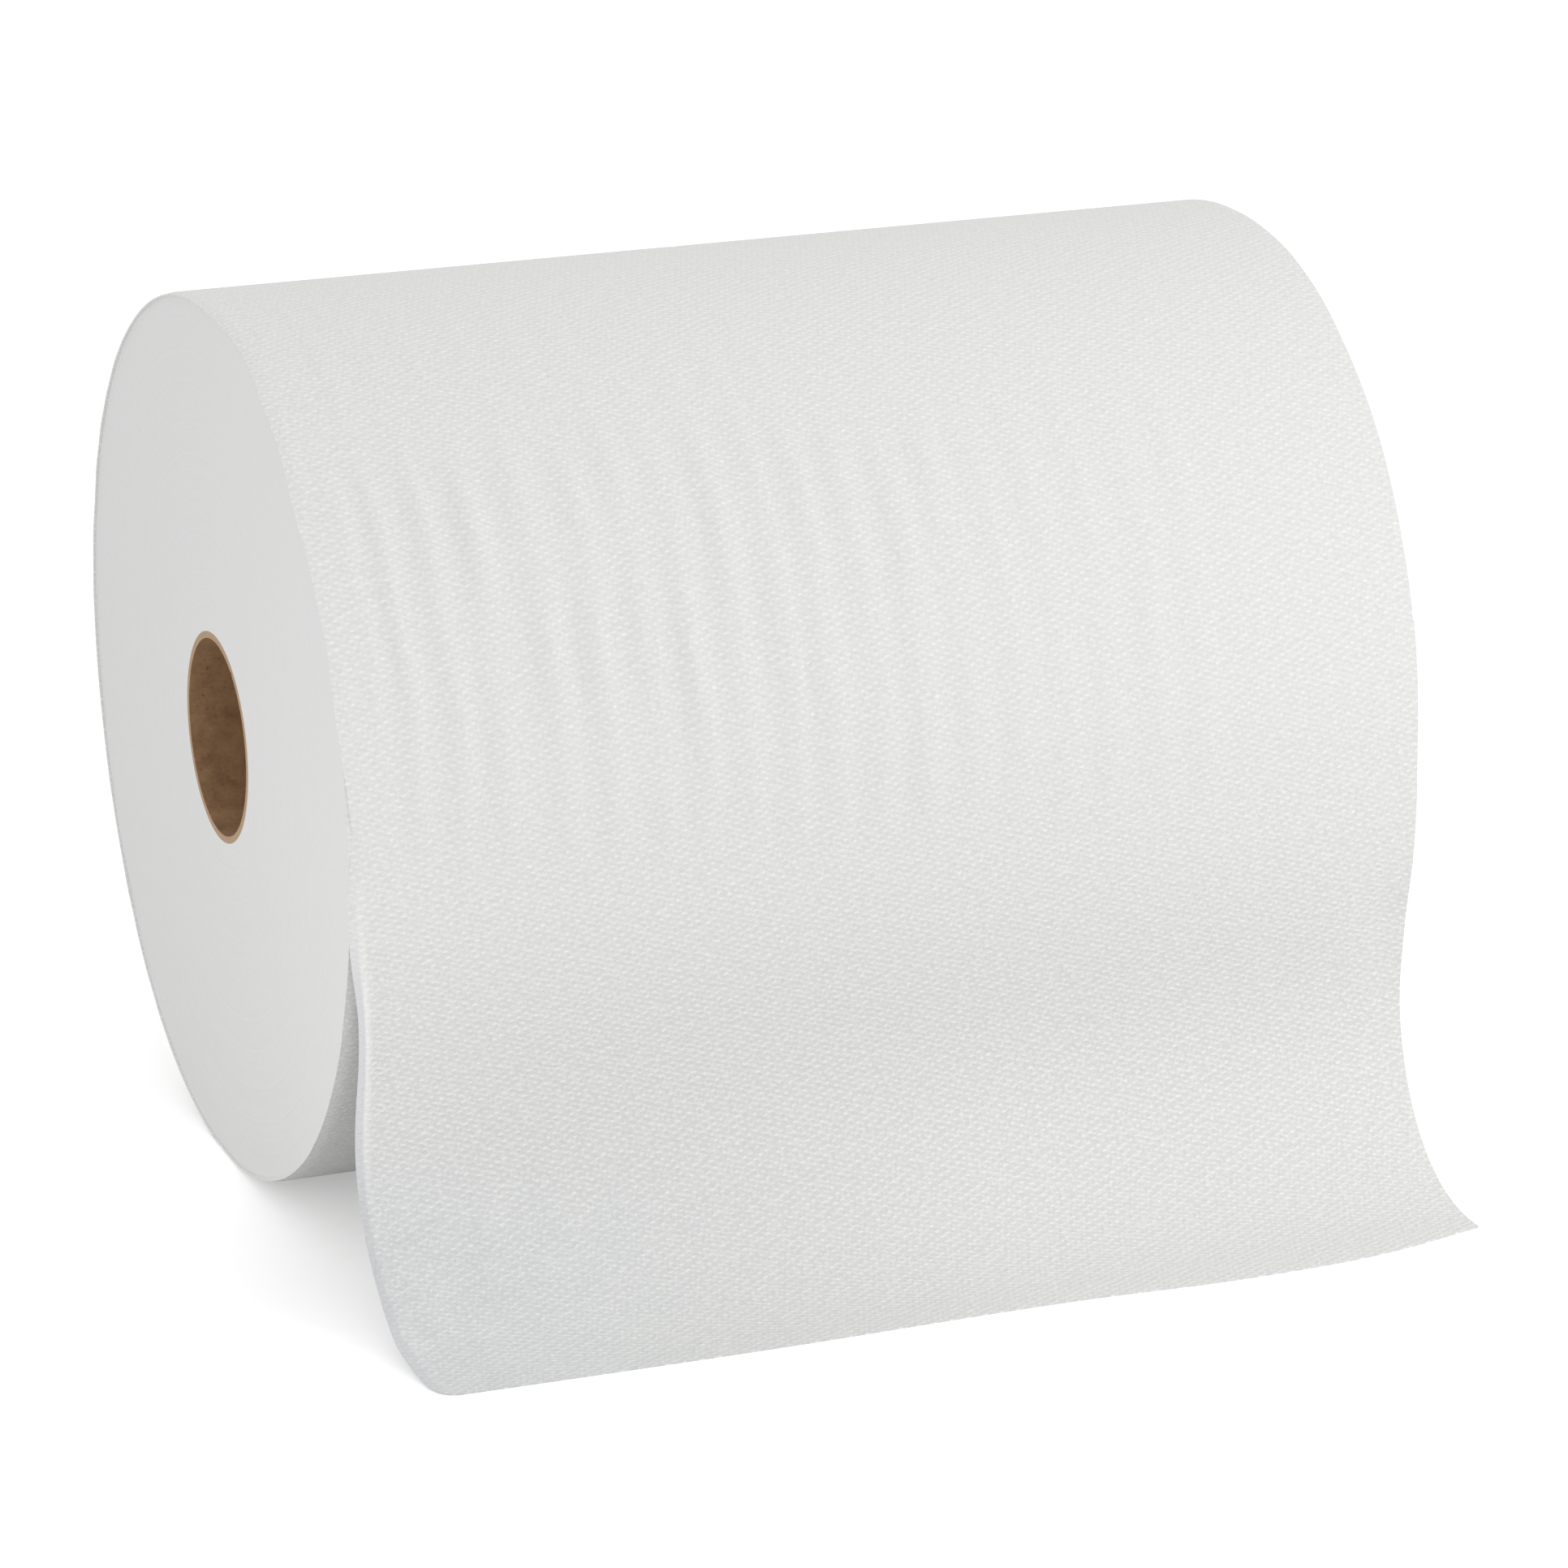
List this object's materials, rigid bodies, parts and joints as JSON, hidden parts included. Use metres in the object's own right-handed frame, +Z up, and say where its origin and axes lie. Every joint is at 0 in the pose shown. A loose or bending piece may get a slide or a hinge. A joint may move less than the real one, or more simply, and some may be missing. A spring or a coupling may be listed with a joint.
{
  "type": "paper towel roll",
  "caption": "Wide hard-wound roll of white paper towelling on a kraft paper core, lying on its side with the loose end hanging down and forward.",
  "frame": {"origin": "middle of the core's axis", "axes": "+X along the core, -Y towards the side where the towel comes off, +Z up from the surface the roll lies on"},
  "size_m": [0.254, 0.2536, 0.2058],
  "materials": {
    "towel_paper": "matte",
    "kraft_core": "matte"
  },
  "bodies": {
    "root": {"towel_web": "towel_paper", "core_tube": "kraft_core"}
  },
  "joints": []
}
